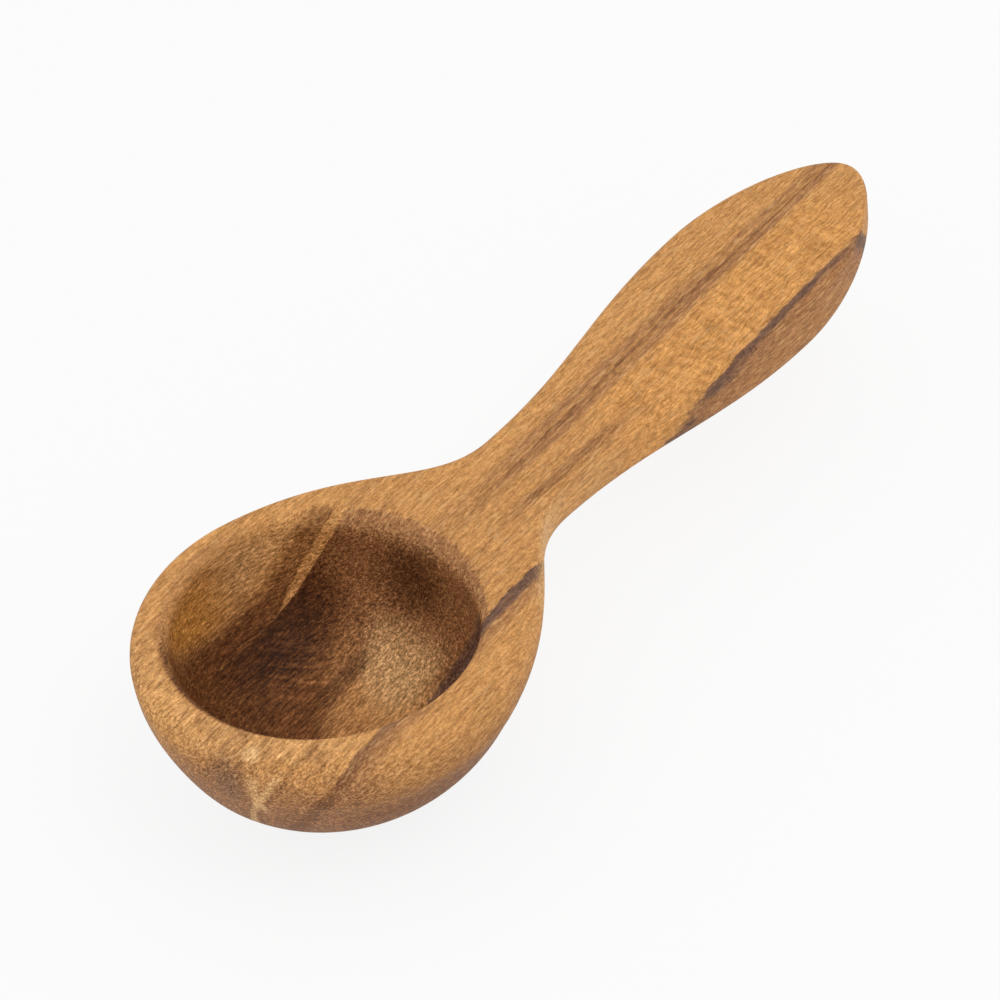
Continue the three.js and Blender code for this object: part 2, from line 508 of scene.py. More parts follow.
def hollow_rings(form, angles):
    """Places of the rings from the mouth over its rounded lip and down the wall of the hollow."""
    sizes = form.sizes
    mouth = sizes.bowl_radius - sizes.rim_width
    lips = [form.lip_edge(angle) for angle in angles]
    middle = Vector((*sizes.hollow_shift, 0))
    circle = level_ways(angles)
    rings = []
    for share in steps(LIP_RINGS, 1):
        inwards = math.sin(math.pi / 2 * share)
        down = 1 - math.cos(math.pi / 2 * share)
        rings.append([
            middle + way * (mouth - lip * inwards) + UP * (sizes.bowl_height - lip * down)
            for way, lip in zip(circle, lips)
        ])
    power = 2 / HOLLOW_SQUARENESS
    for share in steps(WALL_RINGS, 1)[:-1]:
        inwards = math.cos(math.pi / 2 * share) ** power
        down = math.sin(math.pi / 2 * share) ** power
        rings.append([
            middle + way * ((mouth - lip) * inwards)
            + UP * share_between(sizes.bowl_height - lip, sizes.floor_thickness, down)
            for way, lip in zip(circle, lips)
        ])
    return rings


def edge_turns():
    """Turns of the rings over a rounded upper edge, from just off the top face to upright."""
    return [math.pi / 2 * share for share in steps(EDGE_RINGS, 1)]


def neck_lines(form, starts):
    """How each point of a ring runs on from its start on the bowl to the neck.

    The starts go over the top from -Y to +Y, round the +Y edge, below, and up round the -Y edge.
    Each line is a function of x and a second number, and that number's first and last value.
    """
    def left_edge(x, turn):
        return form.on_edge(x, turn, 1)

    def right_edge(x, turn):
        return form.on_edge(x, turn, -1)

    over = SHOULDER_COLUMNS + 1
    under = len(starts) - over - 2 * EDGE_RINGS
    lines = []
    for start, share in zip(starts, steps(SHOULDER_COLUMNS)):
        lines.append((form.on_shoulder, form.shoulder_share(start), 2 * share - 1))
    lines += [(left_edge, turn, turn) for turn in edge_turns()]
    for start, share in zip(starts[over + EDGE_RINGS:], steps(under + 1, 1)[:-1]):
        lines.append((form.on_underside, form.underside_share(start), share))
    lines += [(right_edge, turn, turn) for turn in reversed(edge_turns())]
    return lines


def section_ring(form, x, count):
    """A ring of points round the handle where its outline is at x, in the order of neck_lines."""
    under = count - SHOULDER_COLUMNS - 1 - 2 * EDGE_RINGS
    ring = [form.on_top(x, 2 * share - 1) for share in steps(SHOULDER_COLUMNS)]
    ring += [form.on_edge(x, turn, 1) for turn in edge_turns()]
    ring += [form.on_underside(x, share) for share in steps(under + 1, 1)[:-1]]
    ring += [form.on_edge(x, turn, -1) for turn in reversed(edge_turns())]
    return ring


def carve_bowl(form, mesh):
    """Models the bowl with its hollow, its flat and the shoulders up to the neck."""
    angles = column_angles()
    outside = outside_rings(form, angles)
    rim = rim_rings(form, angles)
    rings = [first_ring(mesh, outside[0])]
    close_ring(mesh, rings[0], Vector())
    for places in outside[1:] + rim + hollow_rings(form, angles):
        rings.append(next_ring(mesh, rings[-1], places))
    close_ring(mesh, rings[-1], Vector((*form.sizes.hollow_shift, form.sizes.floor_thickness)))

    low = FLAT_RINGS - 1 + LOW_RING
    high = len(outside) - 1 + EDGE_RINGS
    last = SHOULDER_COLUMNS
    opening = []
    for under, over in zip(rings[low:high], rings[low + 1:high + 1]):
        for i in range(last):
            opening.append(mesh.faces.get((under[i], under[i + 1], over[i + 1], over[i])))
    ring = rings[high][: last + 1]
    ring += [rings[row][last] for row in range(high - 1, low - 1, -1)]
    ring += [rings[low][i] for i in range(last - 1, 0, -1)]
    ring += [rings[row][0] for row in range(low, high)]
    bmesh.ops.delete(mesh, geom=opening, context="FACES")

    starts = [vert.co.copy() for vert in ring]
    lines = neck_lines(form, starts)
    neck = form.sizes.neck_distance
    for share in [*steps(SHOULDER_RINGS, 1)[:-1], 1 - SEAM_STEP / neck, 1.0]:
        ring = next_ring(mesh, ring, [
            place(share_between(start.x, neck, share), share_between(first, end, share))
            for start, (place, first, end) in zip(starts, lines)
        ])
    sharpen(mesh, ring)
    close_ring(mesh, ring, middle_of(ring))


def carve_handle(form, mesh):
    """Models the handle from the neck to the rounded end."""
    sizes = form.sizes
    neck = sizes.neck_distance
    count = 2 * (SHOULDER_COLUMNS + OUTSIDE_RINGS - LOW_RING + EDGE_RINGS)
    ring = first_ring(mesh, section_ring(form, neck, count))
    sharpen(mesh, ring)
    close_ring(mesh, ring, middle_of(ring))
    waist = [share_between(neck, sizes.paddle_distance, share) for share in steps(WAIST_RINGS, 1)]
    end = [on_curve(form.end, share).x for share in steps(END_RINGS, 1)]
    for x in [neck + SEAM_STEP, *waist, *end]:
        ring = next_ring(mesh, ring, section_ring(form, x, count))


class Value:
    """A number that changes over the surface. Sums, products and powers of it add Math nodes."""

    def __init__(self, nodes, socket):
        self.nodes = nodes
        self.socket = socket

    def __add__(self, other):
        return self.nodes.math("ADD", self, other)

    __radd__ = __add__

    def __sub__(self, other):
        return self.nodes.math("SUBTRACT", self, other)

    def __rsub__(self, other):
        return self.nodes.math("SUBTRACT", other, self)

    def __mul__(self, other):
        return self.nodes.math("MULTIPLY", self, other)

    __rmul__ = __mul__

    def __truediv__(self, other):
        return self.nodes.math("DIVIDE", self, other)

    def __rtruediv__(self, other):
        return self.nodes.math("DIVIDE", other, self)

    def __pow__(self, other):
        return self.nodes.math("POWER", self, other)

    def __rpow__(self, other):
        return self.nodes.math("POWER", other, self)

    def __abs__(self):
        return self.nodes.math("ABSOLUTE", self)


class Nodes:
    """Adds nodes to one tree."""

    def __init__(self, tree):
        self.tree = tree
        tree.nodes.clear()

    def add(self, kind, settings=None, inputs=None, output=0):
        """A node of a kind, with its settings made first and its sockets then filled or linked.

        Returns the value of one output, or those of several where output is a tuple.
        """
        node = self.tree.nodes.new(kind)
        for name, value in (settings or {}).items():
            setattr(node, name, value)
        for key, value in (inputs or {}).items():
            if isinstance(value, Value):
                self.tree.links.new(value.socket, node.inputs[key])
            else:
                node.inputs[key].default_value = value
        if isinstance(output, tuple):
            return [Value(self, node.outputs[key]) for key in output]
        return Value(self, node.outputs[output]) if node.outputs else None

    def math(self, operation, *numbers):
        """One Math node on one or two numbers."""
        return self.add("ShaderNodeMath", {"operation": operation}, dict(enumerate(numbers)))

    def larger(self, first, second):
        """The larger of two numbers."""
        return self.math("MAXIMUM", first, second)

    def vector(self, x, y, z):
        """A vector of three numbers."""
        return self.add("ShaderNodeCombineXYZ", None, {0: x, 1: y, 2: z})

    def vectors(self, operation, first, second):
        """One Vector Math node on two vectors."""
        return self.add("ShaderNodeVectorMath", {"operation": operation}, {0: first, 1: second})

    def size(self, vector):
        """The length of a vector."""
        return self.add("ShaderNodeVectorMath", {"operation": "LENGTH"}, {0: vector}, "Value")

    def blend(self, share, first, second, kind="MIX"):
        """A mix of two colours."""
        settings = {"data_type": "RGBA", "blend_type": kind}
        return self.add("ShaderNodeMix", settings, {0: share, 6: first, 7: second}, 2)

    def rise(self, value, low, high):
        """How far a number is from low to high, from 0 to 1, with level ends."""
        settings = {"interpolation_type": "SMOOTHSTEP"}
        return self.add("ShaderNodeMapRange", settings, {0: value, 1: low, 2: high, 3: 0.0, 4: 1.0})

    def fade(self, value, low, high):
        """1 below the first number, fading to 0 at the second."""
        return 1.0 - self.rise(value, low, high)

    def band(self, value, low, high, low_fade, high_fade):
        """1 between two numbers, fading to 0 below the first and above the second."""
        return self.rise(value, low - low_fade, low) * self.fade(value, high, high + high_fade)

    def noise(self, place, scale, detail=2.0, roughness=0.5):
        """Noise about 0, of a scale per millimetre along each axis."""
        stretched = self.vectors("MULTIPLY", place, scale)
        inputs = {"Vector": stretched, "Scale": 1.0, "Detail": detail, "Roughness": roughness}
        return self.add("ShaderNodeTexNoise", {"noise_dimensions": "3D"}, inputs) - 0.5


class Grain:
    """Where a place lies in the blank of wood: values over the surface, in millimetres, and masks."""

    def __init__(self, nodes):
        self.nodes = nodes
        metres = nodes.add("ShaderNodeTexCoord", output="Object")
        self.place = nodes.vectors("MULTIPLY", metres, (1000.0, 1000.0, 1000.0))
        self.x, self.y, self.z = nodes.add("ShaderNodeSeparateXYZ", None, {0: self.place}, (0, 1, 2))
        self.set_layers()
        self.set_hollow()
        self.set_outside()
        self.set_streak()

    def set_layers(self):
        """Growth layers, which lean and are counted from the handle's line at the rim, and fibres."""
        nodes, place, x, z = self.nodes, self.place, self.x, self.z
        along = x - NECK_PLACE
        sway = nodes.noise(place, (0.02, 0.10, 0.10), 1.0) * 1.6
        self.growth = self.y * (1.0 + along * 0.0025) - along * 0.05 + (z - RIM_HEIGHT) * 0.42 + sway
        self.curly = nodes.band(self.growth, -10.0, -2.5, 2.0, 2.0) * nodes.band(x, 50.0, 86.0, 8.0, 8.0)
        wave = nodes.noise(place, (0.32, 0.14, 0.14), 1.0) * self.curly * 1.2
        grain = nodes.vector(x, self.growth + wave, z)
        self.ragged = nodes.noise(grain, (0.22, 0.9, 0.9), 4.0, 0.65)
        self.layers = nodes.noise(grain, (0.012, 0.55, 0.05), 3.0, 0.6)
        self.lines = nodes.noise(grain, (0.03, 1.9, 1.5), 3.0, 0.65)
        self.dashes = nodes.noise(grain, (0.60, 3.4, 3.4), 2.0, 0.6)
        self.mottle = nodes.noise(grain, (1.3, 2.2, 2.2), 2.0, 0.6)
        self.pores = nodes.rise(nodes.noise(grain, (0.28, 3.0, 3.0), 1.0), 0.10, 0.22)
        self.flecks = nodes.rise(nodes.noise(grain, (0.45, 3.2, 3.2), 1.0), 0.06, 0.20)
        self.speckle = nodes.noise(place, (3.0, 6.0, 6.0), 1.0)
        self.patches = nodes.noise(place, (0.10, 0.22, 0.22), 2.0, 0.5)

    def set_hollow(self):
        """Masks in the hollow: all of it, what lies below its lip, its depth, and its lip at the handle."""
        nodes, x, z = self.nodes, self.x, self.z
        across = nodes.vector(x - HOLLOW_MIDDLE[0], self.y - HOLLOW_MIDDLE[1], 0.0)
        reach = nodes.size(across) / HOLLOW_REACH
        fall = nodes.larger(RIM_HEIGHT - z, 0.0) / HOLLOW_FALL
        self.inside = nodes.fade(reach**HOLLOW_SQUARENESS + fall**HOLLOW_SQUARENESS, 1.16, 1.22)
        fringe = (self.dashes * 0.5 + self.ragged * 0.3) * nodes.rise(x, -4.0, 8.0)
        self.below_lip = self.inside * nodes.fade(z + fringe, 21.3, 21.58)
        # The darker coats below this line start where the wall steepens, so they are partly painted shade
        # as well as heartwood
        deep = self.inside * nodes.fade(z + self.dashes * 3.0 + self.ragged * 2.0, 18.6, 20.8)
        self.deep = nodes.larger(deep, self.below_lip * nodes.fade(x, -14.0, -8.0))
        # The wall under the lip at the handle, painted darker further down: partly end grain, partly
        # painted shade
        self.roll = self.below_lip * nodes.rise(x + self.patches * 6.0, 6.0, 13.0)

    def set_outside(self):
        """Masks on the bowl's outside: all of it, its front and its lower part."""
        nodes = self.nodes
        self.outside = (1.0 - self.inside) * nodes.fade(self.x, 8.0, 22.0)
        self.front = (1.0 - self.inside) * nodes.fade(self.x + self.patches * 6.0, -17.0, -7.0)
        self.low = self.outside * nodes.fade(self.z + self.patches * 8.0, 9.0, 22.5)

    def set_streak(self):
        """The mask of the dark streak, which is strongest where it crosses the bowl's right shoulder."""
        nodes, x = self.nodes, self.x
        strength = nodes.rise(nodes.noise(self.place, (0.13, 0.3, 0.3), 2.0), -0.22, 0.05)
        strength = nodes.larger(strength, nodes.band(x, 10.0, 24.0, 3.0, 6.0))
        streak = self.layer(-12.0, -11.4, 1.0, 0.2, 1.6)
        self.streak = streak * (0.3 + strength * 0.65) * nodes.rise(x, -26.0, 6.0)

    def layer(self, low, high, low_fade, high_fade, wobble):
        """The growth layers between two numbers, with ragged edges."""
        return self.nodes.band(self.growth + self.ragged * wobble, low, high, low_fade, high_fade)

    def spot(self, middle, stretch, core, edge):
        """A mark about a place: 1 up to the core and 0 from the edge on, with a mottled outline."""
        nodes = self.nodes
        away = nodes.vectors("SUBTRACT", self.place, middle)
        away = nodes.size(nodes.vectors("MULTIPLY", away, stretch))
        return nodes.fade(away + self.mottle * 2.0, core, edge)


def blank_coats(grain, tones):
    """Coats through the whole blank: brown layers, the central streak and a short one at the neck."""
    nodes, x = grain.nodes, grain.x
    fine = nodes.rise(grain.lines, -0.12, 0.06)
    central = grain.layer(-0.6, 1.7, 0.8, 1.2, 1.2) * (0.4 + nodes.rise(x, 24.0, 40.0) * 0.6)
    curl = nodes.larger(x - 41.0, 0.0)
    chestnut = abs(grain.y + 4.9 + curl * curl * 0.013 + grain.ragged * 1.8)
    chestnut = nodes.fade(chestnut, 0.1, 1.6) * nodes.band(x, 30.0, 48.0, 8.0, 6.0)
    return (
        (nodes.rise(grain.layers, -0.02, 0.22) * 0.35, tones.brown),
        (central * (0.3 + fine * 0.6), tones.brown),
        (central * grain.layer(0.2, 0.9, 0.3, 0.5, 1.4) * fine * 0.5, tones.heart),
        (chestnut * 0.5, tones.brown),
        (chestnut * chestnut * 0.35, tones.heart),
    )


def hollow_coats(grain, tones):
    """Coats in the hollow.

    A pale stripe with a sharp edge parts its wall. Below it lies dark heartwood, that ends at a tan
    floor, and above it a dark wedge and amber wood, the amber partly painted bounce light. Painted
    shade lies on the lip away from the handle, low on the left wall and, with end grain, on the wall
    at the handle; painted light lies on the upper left wall towards the handle.
    """
    nodes, x, z = grain.nodes, grain.x, grain.z
    growth, ragged = grain.growth, grain.ragged
    below_lip, deep, roll = grain.below_lip, grain.deep, grain.roll
    seam = growth - nodes.larger(x - 10.0, 0.0) * 0.1 + ragged * 0.4
    below_seam = nodes.fade(seam, 11.15, 11.4)
    stripe = nodes.band(seam, 11.35, 11.8, 0.1, 0.9) * below_lip
    stripe = stripe * nodes.rise(x, 7.0, 11.0) * nodes.rise(z, 10.0, 13.0)
    wedge = nodes.fade(growth - nodes.rise(x, 6.0, 13.0) * 1.3 + ragged * 1.2, 13.0, 15.4)
    wedge = wedge * nodes.rise(seam - nodes.rise(x, 6.0, 12.0) * 1.3, 11.15, 11.4)
    wedge = wedge * below_lip * (0.95 - nodes.rise(z, 10.0, 16.0) * 0.3)
    slant = growth - x * 0.7 + ragged * 1.5 + grain.mottle * 1.5
    heartwood = nodes.rise(slant, -5.8, -0.8) * below_seam * deep
    heartwood = heartwood * (1.0 - nodes.rise(x, 11.5, 15.5) * 0.8)
    tan = nodes.fade(slant, -9.5, -5.5) * nodes.fade(z, 5.5, 11.0) * nodes.rise(x, 4.0, 10.0)
    tan = tan * nodes.rise(growth, -10.5, -7.0) * deep
    # Painted shade: the top of the lip, away from the handle, is darkened with brown where its bevel falls
    # into shade
    lip = grain.inside * nodes.fade(z, 21.45, 21.6) * nodes.fade(x, 2.0, 10.0)
    # Painted light: the upper left wall towards the handle is made paler, as if more light reached it
    painted_light_back_wall = nodes.rise(growth, 14.0, 17.0) * nodes.rise(x, -3.0, 5.0) * nodes.fade(z, 18.5, 21.0)
    # Amber on the left wall: partly warm wood, partly painted warm light bounced about the hollow
    warm_wood_and_bounce_wall = nodes.rise(growth, 13.4, 15.6) * nodes.fade(x, -4.0, 6.0) * nodes.fade(z, 17.5, 21.3)
    low_line = grain.layer(-0.6, 0.9, 0.7, 0.8, 1.5) * nodes.fade(z, 4.5, 7.0) * nodes.rise(x, 0.0, 6.0)
    return (
        # painted shade on the lip's bevel
        (lip * 0.35, tones.brown),
        (painted_light_back_wall * below_lip * 0.4, tones.pale),
        (warm_wood_and_bounce_wall * below_lip * 0.8, tones.amber),
        (wedge, tones.heart),
        # The wall under the broad lip at the handle is painted darker: partly end grain, partly painted
        # shade of the steep wall
        (roll * below_seam * 0.8, tones.brown),
        (roll * deep * below_seam * 0.42, tones.heart),
        (heartwood * 0.92, tones.heart),
        # Painted shade: an umber spot low on the left wall, towards the handle, where the hollow lies in
        # shade
        (grain.spot((6.0, 15.0, 9.0), (0.7, 1.5, 0.8), 3.0, 9.0) * below_seam * deep * 0.85, tones.umber),
        (nodes.rise(slant, 2.0, 7.0) * deep * nodes.fade(x, -2.0, 8.0) * 0.35, tones.umber),
        (tan * 0.75, tones.pale),
        (low_line * deep * 0.5, tones.umber),
        (grain.spot((17.0, 2.8, 14.6), (1.0, 1.0, 1.0), 1.5, 6.5) * grain.inside * 0.7, tones.umber),
        (stripe * (0.4 + nodes.rise(z, 13.0, 19.0) * 0.4), tones.light),
        (grain.layer(-13.0, -10.6, 0.8, 0.9, 1.5) * deep * 0.9, tones.dark),
        (grain.layer(-13.0, -11.0, 0.8, 0.9, 1.5) * deep * 0.35, tones.umber),
    )


def outside_coats(grain, tones):
    """Coats on the bowl's outside: browner wood low down, pale and dark marks on the front, and a paler top
    to the front rim, partly paler wood and partly painted light.
    """
    nodes, y, z, patches = grain.nodes, grain.y, grain.z, grain.patches
    outside, front, low = grain.outside, grain.front, grain.low
    low_right = outside * nodes.fade(y, -19.0, -11.0) * nodes.fade(z + patches * 6.0, 12.0, 22.0)
    # The front rim's top is made paler: partly the paler wood of its flat, partly painted light from the
    # white surroundings
    rim = nodes.rise(z + nodes.rise(y, -9.0, -3.0) * 0.6, 21.2, 21.6)
    slanting_mark = grain.layer(-6.3, -5.9, 0.4, 0.4, 0.9) * nodes.fade(z, 19.6, 21.2)
    upright_mark = abs(y + 7.4 + grain.ragged * 1.2) + grain.mottle * 0.8
    upright_mark = nodes.fade(upright_mark, 0.2, 1.0) * nodes.band(z, 15.0, 19.5, 3.0, 1.0)
    return (
        (front * nodes.fade(z + patches * 6.0 + y * 0.05, 16.0, 22.0) * 0.68, tones.brown),
        (front * rim * 0.14, tones.pale),
        (low * 0.95, tones.brown),
        (low * 0.3, tones.heart),
        (low_right * 0.5, tones.heart),
        (outside * nodes.fade(z + patches * 6.0, 1.0, 13.0) * 0.35, tones.heart),
        (slanting_mark * front * 0.6, tones.pale),
        (grain.layer(-7.1, -6.8, 0.2, 0.4, 0.9) * front * 0.35, tones.heart),
        (upright_mark * front * 0.6, tones.pale),
        (grain.spot((-22.3, -4.2, 18.4), (1.0, 1.0, 0.7), 0.6, 3.4) * 0.65, tones.dark),
        (grain.spot((-19.6, -5.8, 21.4), (1.0, 1.0, 1.0), 0.5, 1.5) * 0.9, tones.pale),
    )


def right_edge_coats(grain, tones):
    """Coats along the right edge: the dark streak, browner wood beyond it, and painted light on the neck's
    right side.

    The last one warms the curly wood of the paddle.
    """
    nodes, x, z = grain.nodes, grain.x, grain.z
    beyond = nodes.fade(grain.growth + grain.ragged, -13.2, -11.9) * nodes.rise(x, 38.0, 52.0)
    trail = grain.growth - nodes.larger(20.0 - z, 0.0) * 0.14 + grain.ragged * 1.6
    # Painted light: the neck's right side, below its top edge, is made paler as if lit from the right
    painted_light_neck_side = nodes.band(x, 20.0, 38.0, 3.0, 8.0) * nodes.fade(grain.y, -8.0, -5.5)
    return (
        (beyond * 0.65, tones.brown),
        (grain.layer(-13.4, -11.6, 1.2, 0.35, 1.6) * 0.65, tones.brown),
        (nodes.band(trail, -12.5, -11.5, 0.7, 0.4) * grain.front * 0.65, tones.heart),
        (grain.streak, tones.dark),
        (painted_light_neck_side * nodes.fade(z, 20.2, 21.4) * 0.6, tones.pale),
        (grain.curly * 0.25, tones.amber),
    )


def with_fine_grain(grain, tones, colour):
    """A colour with the contrast of the fibres, dark pores and pale flecks laid over it."""
    nodes, x, y, deep = grain.nodes, grain.x, grain.y, grain.deep
    ripples = nodes.noise(nodes.vector(x - y, x + y, grain.z), (0.2, 1.5, 0.4), 1.0)
    ripples = ripples * grain.spot((5.0, 11.5, 5.5), (1.0, 1.0, 1.0), 2.0, 7.0) * grain.inside
    twist = nodes.noise(grain.place, (1.1, 0.4, 0.4), 2.0) * grain.curly
    fibres = grain.lines * 0.5 + grain.dashes * 1.3 + grain.speckle * 0.9 + grain.mottle * 0.5
    coarse = 1.0 + deep * 0.7 + grain.roll * 0.4 + grain.front * 0.5 + grain.low * 0.4
    contrast = fibres * coarse + ripples * 1.6 + twist * 0.9
    shade = nodes.math("EXPONENT", contrast)
    colour = nodes.blend(1.0, colour, nodes.vector(shade, shade, shade), "MULTIPLY")
    colour = nodes.add("ShaderNodeGamma", None, {"Color": colour, "Gamma": 1.0 - contrast * 0.2})
    colour = nodes.blend(grain.pores * 0.25 * (1.0 - deep), colour, tones.brown)
    flecks = grain.flecks * 0.45 * (1.0 - deep) * (1.0 - grain.low * 0.4) * (1.0 - grain.streak)
    return nodes.blend(flecks, colour, tones.pale)


def oiled_wood(wood):
    """The scoop's oiled wood, made once and shared: coats of colour, some of them painted light and shade,
    fine grain and a slight relief.
    """
    material = bpy.data.materials.get("oiled_wood_grain")
    if material:
        return material
    material = bpy.data.materials.new("oiled_wood_grain")
    material.use_nodes = True
    nodes = Nodes(material.node_tree)
    grain = Grain(nodes)
    tones = SimpleNamespace(**{name: (*getattr(wood, name), 1.0) for name in ScoopWood.__annotations__})
    colour = tones.light
    for coats in (blank_coats, hollow_coats, outside_coats, right_edge_coats):
        for share, tone in coats(grain, tones):
            colour = nodes.blend(share, colour, tone)

    height = grain.dashes + grain.lines * 0.5 + grain.speckle * 0.5 - grain.pores * 0.5
    bump = nodes.add("ShaderNodeBump", None, {"Strength": 0.4, "Distance": 0.0001, "Height": height})
    surface = nodes.add("ShaderNodeBsdfPrincipled", None, {
        "Base Color": with_fine_grain(grain, tones, colour),
        "Roughness": 0.58 + grain.dashes * 0.3 + grain.pores * 0.1,
        "Specular IOR Level": 0.15,
        "Normal": bump,
    })
    nodes.add("ShaderNodeOutputMaterial", None, {"Surface": surface})
    return material


def length(name, description, default):
    """A property for a length."""
    return bpy.props.FloatProperty(
        name=name, description=description, default=default, min=0.0,
        unit="LENGTH", subtype="DISTANCE", precision=5,
    )


def lengths(name, description, default):
    """A property for a place or a shift, of two or three lengths."""
    return bpy.props.FloatVectorProperty(
        name=name, description=description, default=default, size=len(default),
        unit="LENGTH", subtype="XYZ_LENGTH", precision=5,
    )


def tilt(name, description, degrees):
    """A property for an angle."""
    return bpy.props.FloatProperty(
        name=name, description=description, default=math.radians(degrees), subtype="ANGLE"
    )


def amount(name, description, default, unit="NONE"):
    """A property for a number that isn't negative."""
    return bpy.props.FloatProperty(
        name=name, description=description, default=default, min=0.0, unit=unit
    )


def hue(name, description, default):
    """A property for a colour."""
    return bpy.props.FloatVectorProperty(
        name=name, description=description, default=default, min=0.0, max=1.0, size=3, subtype="COLOR"
    )


class ScoopSizes(bpy.types.PropertyGroup):
    """Sizes of the scoop."""

    bowl_radius: length("Bowl radius", "Outside radius at the rim", CAD_BOX[1].y)
    bowl_depth: length("Bowl depth", "Depth of the rounded outside, before the flat is cut", 0.0234)
    bowl_height: length("Bowl height", "From the flat underneath up to the rim", BOWL_BOX[1].z)
    rim_width: length("Rim width", "Flat of the rim, as if the hollow were centred", 0.0033)
    floor_thickness: length("Floor thickness", "Wood under the deepest point of the hollow", 0.0032)
    hollow_shift: lengths("Hollow shift", "How far the hollow lies off the middle", (0.00105, 0.00195))
    rim_rounding: length("Rim rounding", "Least radius of the rim's outer edge", 0.0006)
    soft_rim_rounding: length("Soft rim rounding", "Greatest radius of the rim's outer edge", 0.0036)
    lip_rounding: length("Lip rounding", "Usual radius of the mouth's edge", 0.0018)
    broad_lip_rounding: length("Broad lip rounding", "Radius of the mouth's edge at the handle", 0.0032)
    crisp_lip_rounding: length("Crisp lip rounding", "Radius of the mouth's crispest edge", 0.0007)
    neck_distance: length("Neck distance", "From the bowl's middle to the narrowest place", BOWL_BOX[1].x)
    neck_width: length("Neck width", "Width at the narrowest place", 0.0127)
    neck_thickness: length("Neck thickness", "Thickness at the narrowest place", 0.0070)
    paddle_distance: length("Paddle distance", "From the bowl's middle to the broadest place", 0.0749)
    paddle_width: length("Paddle width", "Width at the broadest place", 0.02156)
    paddle_thickness: length("Paddle thickness", "Thickness at the broadest place", 0.0086)
    tip_distance: length("Tip distance", "From the bowl's middle to the handle's end", HANDLE_BOX[1].x)
    tip_thickness: length("Tip thickness", "Thickness near the handle's end", 0.0055)
    tip_rise: length("Tip rise", "How far the handle's top climbs above the rim", TIP_RISE)
    tip_sweep: length("Tip sweep", "Length over which the underside sweeps up at the end", 0.0050)
    top_rounding: length("Top rounding", "Radius of the handle's upper edges", 0.0013)


class ScoopWood(bpy.types.PropertyGroup):
    """Colours of the wood, some of which also paint light and shade."""

    # Besides the wood: pale also paints light on the hollow's upper left wall, the neck's right side and
    # the front rim's top; amber partly paints bounce light on the hollow's left wall; brown, heart and
    # umber also paint shade on the hollow's lip and walls
    light: hue("Light wood", "The golden wood between the streaks", (0.62, 0.295, 0.093))
    pale: hue("Pale wood", "The palest stripes and flecks", (0.80, 0.47, 0.20))
    amber: hue("Amber wood", "The warm wood on the hollow's left wall", (0.82, 0.355, 0.07))
    brown: hue("Brown wood", "The browner growth layers", (0.36, 0.16, 0.065))
    heart: hue("Heartwood", "The dark brown wood in the hollow", (0.166, 0.057, 0.016))
    umber: hue("Umber", "The darkest heartwood and end grain", (0.067, 0.021, 0.0055))
    dark: hue("Dark streaks", "The purple-brown streaks", (0.16, 0.082, 0.055))


class ScoopStage(bpy.types.PropertyGroup):
    """Where the camera stands, and the light."""

    azimuth: tilt("Azimuth", "Camera's turn round the scoop", -45.061)
    elevation: tilt("Elevation", "Camera's angle above the floor", 43.053)
    roll: tilt("Roll", "Camera's turn about its own line of sight", -6.773)
    distance: length("Distance", "From the middle of the rim to the camera", 0.6824)
    aside: length("Aside", "How far the camera stands to the right of the rim's middle", 0.01953)
    above: length("Above", "How far the camera stands above the rim's middle", 0.01489)
    lens: amount("Lens", "Focal length in millimetres for a sensor 36 mm wide", 216.0)
    floor_size: length("Floor size", "Side of the floor", 6.0)
    floor_colour: hue("Floor", "Colour of the floor", (0.86, 0.86, 0.86))
    floor_white: amount("Floor white", "Share of the floor's look that is plain white to the camera", 0.86)
    key_place: lengths("Key place", "The key light's place from the middle of the rim", (0.05, -0.42, 0.82))
    key_size: length("Key size", "Side of the key light", 0.45)
    key_power: amount("Key light", "Power of the key light", 1.4, "POWER")
    room_light: amount("Room light", "Strength of the light from all round", 0.80)


class SCOOP_OT_bowl(bpy.types.Operator):
    """Carve the bowl with its hollow and shoulders"""

    bl_idname = "scoop.bowl"
    bl_label = "Carve Bowl"

    def execute(self, context):
        mesh = bmesh.new()
        carve_bowl(ScoopForm(context.scene.scoop_sizes), mesh)
        finished_piece(mesh, "carved_bowl", "bowl", oiled_wood(context.scene.scoop_wood))
        return {"FINISHED"}


class SCOOP_OT_handle(bpy.types.Operator):
    """Carve the handle from the neck to its rounded end"""

    bl_idname = "scoop.handle"
    bl_label = "Carve Handle"

    def execute(self, context):
        mesh = bmesh.new()
        carve_handle(ScoopForm(context.scene.scoop_sizes), mesh)
        finished_piece(mesh, "carved_handle", "handle", oiled_wood(context.scene.scoop_wood))
        return {"FINISHED"}


def soft_lamp(name, place, target, size, power):
    """A square lamp that faces a point."""
    lamp = bpy.data.lights.new(name, "AREA")
    lamp.shape = "SQUARE"
    lamp.size = size
    lamp.energy = power
    piece = bpy.data.objects.new(name, lamp)
    piece.location = place
    piece.rotation_euler = (target - place).to_track_quat("-Z", "Y").to_euler()
    bpy.context.scene.collection.objects.link(piece)
    return piece


def pale_floor_material(stage):
    """A pale floor that the camera sees nearly white, and that keeps the scoop's shadow."""
    material = bpy.data.materials.new("pale_floor")
    material.use_nodes = True
    nodes = Nodes(material.node_tree)
    rays = ("Is Camera Ray", "Is Glossy Ray", "Is Transmission Ray")
    seen, glossy, clear = nodes.add("ShaderNodeLightPath", output=rays)
    shown = nodes.larger(seen, nodes.larger(glossy, clear))
    lit = nodes.add("ShaderNodeBsdfDiffuse", None, {"Color": (*stage.floor_colour, 1.0)})
    white = nodes.add("ShaderNodeEmission", None, {"Color": (1.0, 1.0, 1.0, 1.0), "Strength": 1.0})
    surface = nodes.add("ShaderNodeMixShader", None, {0: shown * stage.floor_white, 1: lit, 2: white})
    nodes.add("ShaderNodeOutputMaterial", None, {"Surface": surface})
    return material


